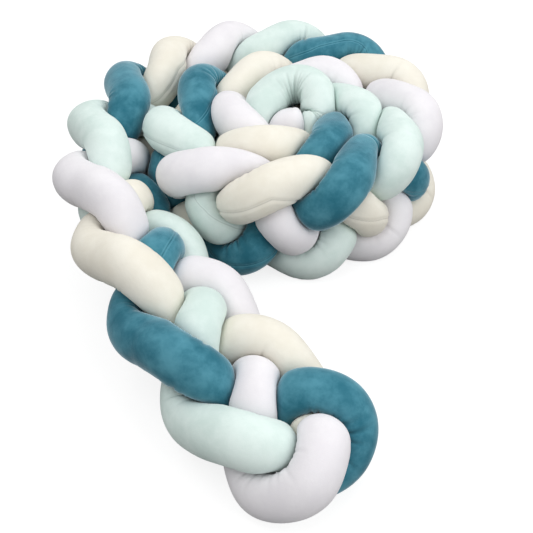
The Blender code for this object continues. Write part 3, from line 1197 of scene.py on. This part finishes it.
@dataclass
class Studio:
    """A white floor, soft lights and a camera at the photograph's angle."""

    lights: tuple[SoftLight, ...] = (
        SoftLight("key", (-1.0, -0.7, 2.3), 1.6, 15.0),
        SoftLight("top", (0.4, 1.1, 2.2), 2.4, 20.0),
        SoftLight("side", (1.5, -0.9, 1.1), 1.6, 16.0),
    )
    elevation: float = 41.7
    distance: float = 1.317
    focal_px: float = 832.325
    frame_px: float = 533.0
    sensor: float = 36.0
    floor_size: float = 12.0
    floor_drop: float = 0.0005
    floor_bounce: float = 0.25
    floor_shadow: float = 0.3
    floor_glow: float = 0.8
    surround: float = 0.62

    def build(self, shift: np.ndarray) -> None:
        """Makes the floor, the lights and the camera.

        Args:
            shift: Taken from every place, as from the tubes.
        """
        self.floor()
        self.world()
        for light in self.lights:
            self.area(light)
        self.camera(shift)
        view = bpy.context.scene.view_settings
        view.view_transform = "Standard"
        view.look = "None"

    def floor(self) -> None:
        """A plain white floor, which shows faint shadows and throws little light up at the bumper."""
        half = self.floor_size / 2
        mesh = bpy.data.meshes.new("floor")
        corners = [(-half, -half, 0), (half, -half, 0), (half, half, 0), (-half, half, 0)]
        mesh.from_pydata(corners, [], [(0, 1, 2, 3)])
        material = bpy.data.materials.new("white_floor")
        material.use_nodes = True
        tree = material.node_tree
        seen = add(tree, "LightPath").outputs["Is Camera Ray"]
        spread = {"Value": seen, "To Min": self.floor_bounce, "To Max": self.floor_shadow}
        tone = add(tree, "MapRange", spread)
        glow = add(tree, "Math", {0: seen, 1: self.floor_glow}, operation="MULTIPLY")
        look = {
            "Base Color": tone.outputs["Result"],
            "Emission Strength": glow.outputs[0],
            "Emission Color": WHITE_LIGHT,
            "Roughness": 1.0,
            "Specular IOR Level": 0.0,
        }
        feed(tree, tree.nodes["Principled BSDF"], look)
        mesh.materials.append(material)
        made = bpy.data.objects.new("floor", mesh)
        made.location.z = -self.floor_drop
        bpy.context.scene.collection.objects.link(made)

    def world(self) -> None:
        """An even surround, which shows white."""
        world = bpy.data.worlds.new("studio")
        world.use_nodes = True
        tree = world.node_tree
        seen = add(tree, "LightPath").outputs["Is Camera Ray"]
        strength = add(tree, "MapRange", {"Value": seen, "To Min": self.surround, "To Max": 1.0})
        look = {"Strength": strength.outputs["Result"], "Color": WHITE_LIGHT}
        feed(tree, tree.nodes["Background"], look)
        bpy.context.scene.world = world

    def area(self, light: SoftLight) -> None:
        """Hangs one soft light.

        Args:
            light: Its name, place, size and power.
        """
        data = bpy.data.lights.new(light.name, "AREA")
        data.energy = light.watts
        data.size = light.size
        made = bpy.data.objects.new(light.name, data)
        made.location = light.place
        made.rotation_euler = (-Vector(light.place)).to_track_quat("-Z", "Y").to_euler()
        bpy.context.scene.collection.objects.link(made)

    def camera(self, shift: np.ndarray) -> None:
        """The camera, at the photograph's height, distance and field of view.

        Args:
            shift: Taken from its place, as from the tubes.
        """
        up = math.radians(self.elevation)
        data = bpy.data.cameras.new("camera")
        data.sensor_width = self.sensor
        data.lens = self.focal_px / self.frame_px * self.sensor
        made = bpy.data.objects.new("camera", data)
        back = Vector((0.0, -math.cos(up), math.sin(up)))
        made.location = self.distance * back - Vector(shift)
        made.rotation_euler = (math.pi / 2 - up, 0.0, 0.0)
        bpy.context.scene.collection.objects.link(made)
        bpy.context.scene.camera = made


FINISHES = {
    Colour.WHITE: VelvetFinish(
        base=(0.785, 0.765, 0.79),
        light=(0.83, 0.815, 0.835),
        dark=(0.72, 0.70, 0.735),
        sheen=0.22,
        sheen_tint=(1.0, 1.0, 1.0),
        patchiness=0.5,
    ),
    Colour.MINT: VelvetFinish(
        base=(0.665, 0.78, 0.74),
        light=(0.75, 0.85, 0.82),
        dark=(0.56, 0.69, 0.65),
        sheen=0.25,
        sheen_tint=(0.92, 1.0, 0.97),
        patchiness=0.6,
    ),
    Colour.TEAL: VelvetFinish(
        base=(0.03, 0.175, 0.24),
        light=(0.125, 0.36, 0.45),
        dark=(0.008, 0.10, 0.15),
        sheen=1.0,
        sheen_tint=(0.72, 0.9, 0.98),
        patchiness=0.55,
        nap_scale=11.0,
        nap_marks=0.5,
        fold_shade=0.5,
        sheen_roughness=0.32,
    ),
    Colour.CREAM: VelvetFinish(
        base=(0.80, 0.77, 0.68),
        light=(0.85, 0.825, 0.745),
        dark=(0.74, 0.70, 0.60),
        sheen=0.22,
        sheen_tint=(1.0, 0.98, 0.92),
        patchiness=0.5,
    ),
}
SEAMS = {
    Colour.WHITE: (SeamPlace(0, 200), SeamPlace(25, 200)),
    Colour.MINT: (
        SeamPlace(0, 160),
        SeamPlace(14.8, 150),
        SeamPlace(15.8, 68),
        SeamPlace(16.1, 35),
        SeamPlace(16.9, 72),
        SeamPlace(17.3, 94),
        SeamPlace(19, 180),
    ),
    Colour.TEAL: (
        SeamPlace(0, 150),
        SeamPlace(2.5, 60),
        SeamPlace(2.8, 35),
        SeamPlace(3.2, 40),
        SeamPlace(4, 150),
        SeamPlace(8.4, 150),
        SeamPlace(9.4, 75),
        SeamPlace(9.6, 55),
        SeamPlace(9.85, 32),
        SeamPlace(10.1, 26),
        SeamPlace(10.4, 30),
        SeamPlace(13, -115),
        SeamPlace(14, -180),
        SeamPlace(16.8, -20),
        SeamPlace(17.7, 35),
        SeamPlace(18.1, 74),
        SeamPlace(19.5, 180),
    ),
    Colour.CREAM: (
        SeamPlace(0, -160),
        SeamPlace(5.5, -110),
        SeamPlace(6.4, -80),
        SeamPlace(6.7, -60),
        SeamPlace(8, -140),
        SeamPlace(9.5, -180),
        SeamPlace(12.8, -180),
        SeamPlace(14, -282),
        SeamPlace(14.2, -268),
        SeamPlace(14.6, -210),
        SeamPlace(14.95, -230),
        SeamPlace(15.2, -282),
        SeamPlace(15.5, -263),
        SeamPlace(17, -180),
    ),
}

GATHERS = {
    Colour.WHITE: Gathers(depth=0.0025, tuck=0.003),
    Colour.MINT: Gathers(),
    Colour.TEAL: Gathers(depth=0.0045, loose_from=0.25, loose_full=0.6),
    Colour.CREAM: Gathers(depth=0.0035, loose_from=0.28, loose_full=0.68),
}


@dataclass
class CribBumper:
    """The whole bumper: one settled loop, dressed as four velvet tubes."""

    sizes: PlaitSizes = field(default_factory=PlaitSizes)

    def build(self) -> np.ndarray:
        """Builds and dresses the four tubes.

        Returns:
            The shift that was taken from every place.
        """
        loop, lobes, spans = SettledLoop(PlaitLine(self.sizes)).build()
        log.info("settled a loop of %d points, %.2f m long", len(loop), closed_length(loop))
        route = TubeRoute(self.sizes)
        tubes = {colour: self.tube(colour) for colour in Colour}
        paths = {colour: route.path(loop, lobes, *spans[colour]) for colour in Colour}
        skins = {colour: tubes[colour].skin(paths[colour]) for colour in Colour}
        shift = self.shift([paths[colour].surface(skins[colour].length) for colour in Colour])
        groups = VelvetGroups()
        for colour, tube in tubes.items():
            piece = tube.build(paths[colour], skins[colour], shift)
            tube.dress(piece, groups)
            log.info("%s: %d faces", piece.name, len(piece.data.polygons))
        return shift

    def tube(self, colour: Colour) -> VelvetTube:
        """One tube with its own velvet, seam and gathers."""
        seam = LengthSeam(SEAMS[colour])
        return VelvetTube(colour, FINISHES[colour], seam, Stuffing(self.sizes), GATHERS[colour])

    @staticmethod
    def shift(surfaces: list[np.ndarray]) -> np.ndarray:
        """What to take from every place, so that the tubes fall in the construction's box.

        Args:
            surfaces: Places all over each tube.

        Returns:
            The distance along x and y between the tubes' middle and the middle of the box, and 0.
        """
        points = np.vstack([surface.reshape(-1, 3) for surface in surfaces])
        middle = (points.min(axis=0) + points.max(axis=0)) / 2
        low, high = CAD_BOX
        return np.array([middle[0] - (low.x + high.x) / 2, middle[1] - (low.y + high.y) / 2, 0.0])


def main() -> None:
    """Builds the bumper and the studio round it."""
    logging.basicConfig(level=logging.INFO, format="%(name)s: %(message)s")
    shift = CribBumper().build()
    Studio().build(shift)


if __name__ == "__main__":
    main()
